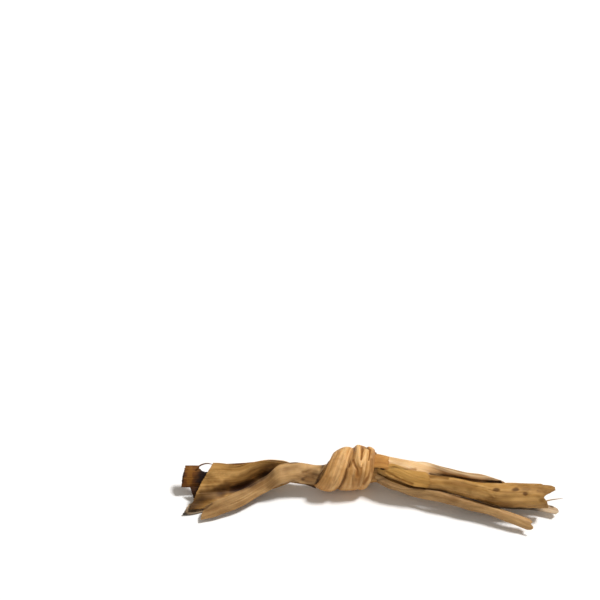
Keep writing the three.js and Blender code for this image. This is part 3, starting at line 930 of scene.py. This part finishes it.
# Painted shade along the short leaf's lower side, in the slit under it, and where it meets the back leaf.
short_leaf.line([(8.9, 4.9), (15.1, 1.1), (20.9, -0.9)], 1.2, depth=0.4, brown=0.95)
short_leaf.line(UNDER_SHORT_LEAF, 1.2, stain=0.6)
short_leaf.line([(17, -1.2), (22.4, -2.9), (27, -3.4)], 1.0, stain=0.9)
short_leaf.line([(7.0, 6.6), (12.7, 7.1), (17.5, 5.9), (22.8, 5.9)], 1.1, stain=0.7)
short_leaf.spot(7.0, 6.3, 2.6, 1.8, stain=0.9)
short_detail = leaf_piece("short_leaf_detail", "short_leaf", short_leaf)
short_detail.data.materials.append(
    dried_leaf("short_leaf_finish", "#dcae62", "#cb9a50", "#8c5d20", "#2a1000", 6.0, mottled=0.45)
)

# The tie is one supple strip of sheath, wound nearly three times round the bundle from left to right and
# tucked under itself. Each turn laps the one before it, and is crowned and creased where it was pulled tight.
knot_radius = track(
    [(-28, 5.6), (-22, 8.2), (-16, 10), (-10, 10.7), (-4, 10.8), (0, 10.3), (3, 9.8), (6, 9.4)]
)
turn_middle = track(
    [
        (-760, 2.8), (-681, 1.7), (-591, 0.2), (-501, -2.5), (-321, -2.8), (-141, -8),
        (39, -11.3), (219, -20.2), (300, -21.5),
    ]
)
turn_width = track(
    [
        (-760, 2.5), (-681, 4.4), (-591, 5.4), (-501, 6), (-321, 8.4), (-141, 12.5),
        (39, 10), (219, 12), (300, 9),
    ]
)
dip = track([(-760, 1.4), (-700, 0), (250, 0), (300, 2)])
WINDING_FROM = 300
WINDING_TO = -760
WINDING_ROWS = 640
WINDING_COLUMNS = 52
RIGHT_LAP = 1.3
LEFT_LAP = 1.0
CROWN_HEIGHT = 0.25
TIE_INSET = 0.2
UNROLLED_RADIUS = 10.5  # takes the angle wound to the length along the tie

angle = np.linspace(WINDING_FROM, WINDING_TO, WINDING_ROWS)[:, None]
share = np.linspace(0, 1, WINDING_COLUMNS)[None, :]
tie_width = turn_width(angle)
breadth = tie_width * (share - 0.5)
wound_x = turn_middle(angle) + breadth
crown = 1 - (2 * share - 1) ** 2
lapped = RIGHT_LAP * share**4 + LEFT_LAP * (1 - share) ** 6
wound_radius = knot_radius(wound_x) - lapped + CROWN_HEIGHT * crown - dip(angle) - TIE_INSET
turned = np.radians(angle) + 0 * wound_x
wound_out = np.stack([0 * wound_x, np.cos(turned), np.sin(turned)], axis=-1)
wound_middle = np.stack([wound_x, spine_y(wound_x), spine_z(wound_x)], axis=-1)
wound_middle = wound_middle + wound_out * wound_radius[..., None]
arc = -turned * UNROLLED_RADIUS
progress = np.linspace(0, 1, WINDING_ROWS)[:, None] + 0 * wound_x
tie = Sheet(
    arc, breadth + 0 * arc, tie_width + 0 * arc, share + 0 * arc, progress, wound_middle, wound_out, seed=70
)
tie.crumple(size=0.55, ribs=0.025)

# The tie's creases, from left to right, darkened as painted shade, and the pale ridges between them, raised
# and lightened as painted highlights.
tie.line(
    [
        (-6.5, 17.6), (-6.9, 14.5), (-7.5, 12.1), (-8.7, 9.2), (-10.6, 5.6), (-11.3, 2.0),
        (-12.7, -0.9), (-14.5, -3.5),
    ],
    1.5,
    depth=0.8,
    stain=0.65,
)
tie.line([(-7.3, 10.4), (-6.5, 7.8), (-5.5, 5.9), (-5.3, 3.0)], 1.1, depth=0.5, brown=1.0)
tie.line([(-7.9, 16.0), (-9.1, 11.6), (-9.4, 7.3)], 1.1, depth=0.3, brown=0.6)
tie.line([(-2.2, 17.8), (-2.9, 14.5), (-3.6, 10.4)], 1.9, depth=0.8, taper=0.25, brown=1.0, stain=0.35)
tie.line(
    [(-0.9, 16.7), (1.0, 15.7), (0.7, 13.6), (0.1, 10.4)], 1.2, depth=0.7, taper=0.5, brown=1.0, stain=0.3
)
tie.line([(1.4, 10.7), (1.0, 5.9), (0.0, 2.5), (-2.2, -0.9)], 1.2, depth=0.5, brown=1.0)
tie.line([(-7.9, 3.0), (-7.5, -1.8)], 1.1, depth=0.3, brown=0.7)
tie.line([(-3.6, 6.5), (-3.9, 2.5), (-4.6, -1.5)], 1.2, depth=0.3, brown=0.7)
tie.line([(-4.9, 17.2), (-4.8, 12.5), (-4.2, 8.0)], 1.4, depth=-0.4, pale=1.0)
tie.line([(-0.4, 15.2), (-1.8, 11.8), (-3.8, 7.6)], 1.2, depth=-0.4, pale=1.0)
tie.line([(2.5, 15.5), (2.4, 10.2), (1.9, 6.0)], 1.3, depth=-0.3, pale=0.9)
tie.spot(-0.9, 16.7, 1.8, 1.5, depth=0.5, stain=0.8)
tie.spot(-4.6, 3.4, 9, 9, brown=0.55)
tie.spot(2.8, 8.5, 5, 20, slant=-4, brown=0.7)
# A painted highlight on the broad face of the first turn.
tie.spot(-16.5, 4.5, 8, 5, slant=40, pale=0.6)
tie.line([(-14.5, 14.5), (-17.5, 9.0), (-20.5, 2.5)], 1.2, depth=0.3, brown=0.4)
tie.line([(-11.5, 15.5), (-14.0, 8.5), (-17.0, 0.5)], 1.4, depth=0.3, brown=0.35)
tie_detail = leaf_piece("tie_detail", "tie_strip", tie)
tie_finish = dried_leaf("tie_finish", "#e2b478", "#c99454", "#8f5c24", "#3a1800", 7.0, mottled=0.5)
tie_detail.data.materials.append(tie_finish)

# The packing is crushed leaf inside the knot, pressed between the leaves and the tie's outer turns. It fills
# the knot's two mouths. The photograph shows little of it, so its shape is a guess.
PACKING_ROOM = 2.8
PACKING_STEEPNESS = 0.8
packing_start = track([(-141, -17), (39, -18.5), (129, -23.3), (219, -28)])
PACKING_STOP = 4.5
PACKING_ROUND = (219, -141)
PACKING_ROWS = 110
PACKING_COLUMNS = 150
PACKING_GAP = 0.2
PACKING_UNROLLED = 8.0

around_packing = np.linspace(*PACKING_ROUND, PACKING_COLUMNS)[None, :]
progress = np.linspace(0, 1, PACKING_ROWS)[:, None]
packing_x = packing_start(around_packing) * (1 - progress) + PACKING_STOP * progress
from_ends = np.minimum(packing_x - packing_start(around_packing), PACKING_STOP - packing_x)
packing_radius = core_radius(packing_x) + PACKING_GAP + PACKING_STEEPNESS * from_ends
packing_radius = np.minimum(packing_radius, knot_radius(packing_x) - PACKING_ROOM)
turned = np.radians(around_packing) + 0 * packing_x
packing_out = np.stack([0 * packing_x, np.cos(turned), np.sin(turned)], axis=-1)
packing_middle = np.stack([packing_x, spine_y(packing_x), spine_z(packing_x)], axis=-1)
packing_middle = packing_middle + packing_out * packing_radius[..., None]
girth = np.ptp(turned) * packing_radius
share = (turned - turned.min()) / np.ptp(turned)
progress = progress + 0 * packing_x
packed_across = turned * PACKING_UNROLLED
packing = Sheet(packing_x, packed_across, girth, share, progress, packing_middle, packing_out, seed=90)
packing.crumple(size=1.2)
# Painted shade along the knot's left edge.
packing.line(KNOT_EDGE, 1.6, stain=0.9)
packing_detail = leaf_piece("knot_packing", "tie_strip", packing)
packing_detail.data.materials.append(
    dried_leaf("packing_finish", "#b98a4e", "#9a6c34", "#6b4316", "#2a1000", 9.0, mottled=0.7)
)

# The tab is the tie's first end, cut square. It is the same supple sheath, held by the turns over it, and lies
# on the leaves just right of the knot.
tie_end = Leaf(
    pressed([(-6, -1.35, 112, 6), (4, -1.35, 103, 7.6), (12, -1.35, 90, 8.2)]),
    left=[(0, -6), (1, -6)],
    right=[(0, 9.6), (1, 10.2)],
    rows=70,
    columns=32,
    fray=0.25,
    seed=80,
)
tie_end.crumple(size=0.5)
tie_end.line([(9.9, 7.5), (9.7, 13.2)], 1.0, stain=0.35)
tie_end_detail = leaf_piece("tie_end_detail", "tie_strip", tie_end)
tie_end_detail.data.materials.append(
    dried_leaf("tie_end_finish", "#cf9750", "#b87f3c", "#8a5824", "#3d1f0a", 8.0, mottled=0.5)
)
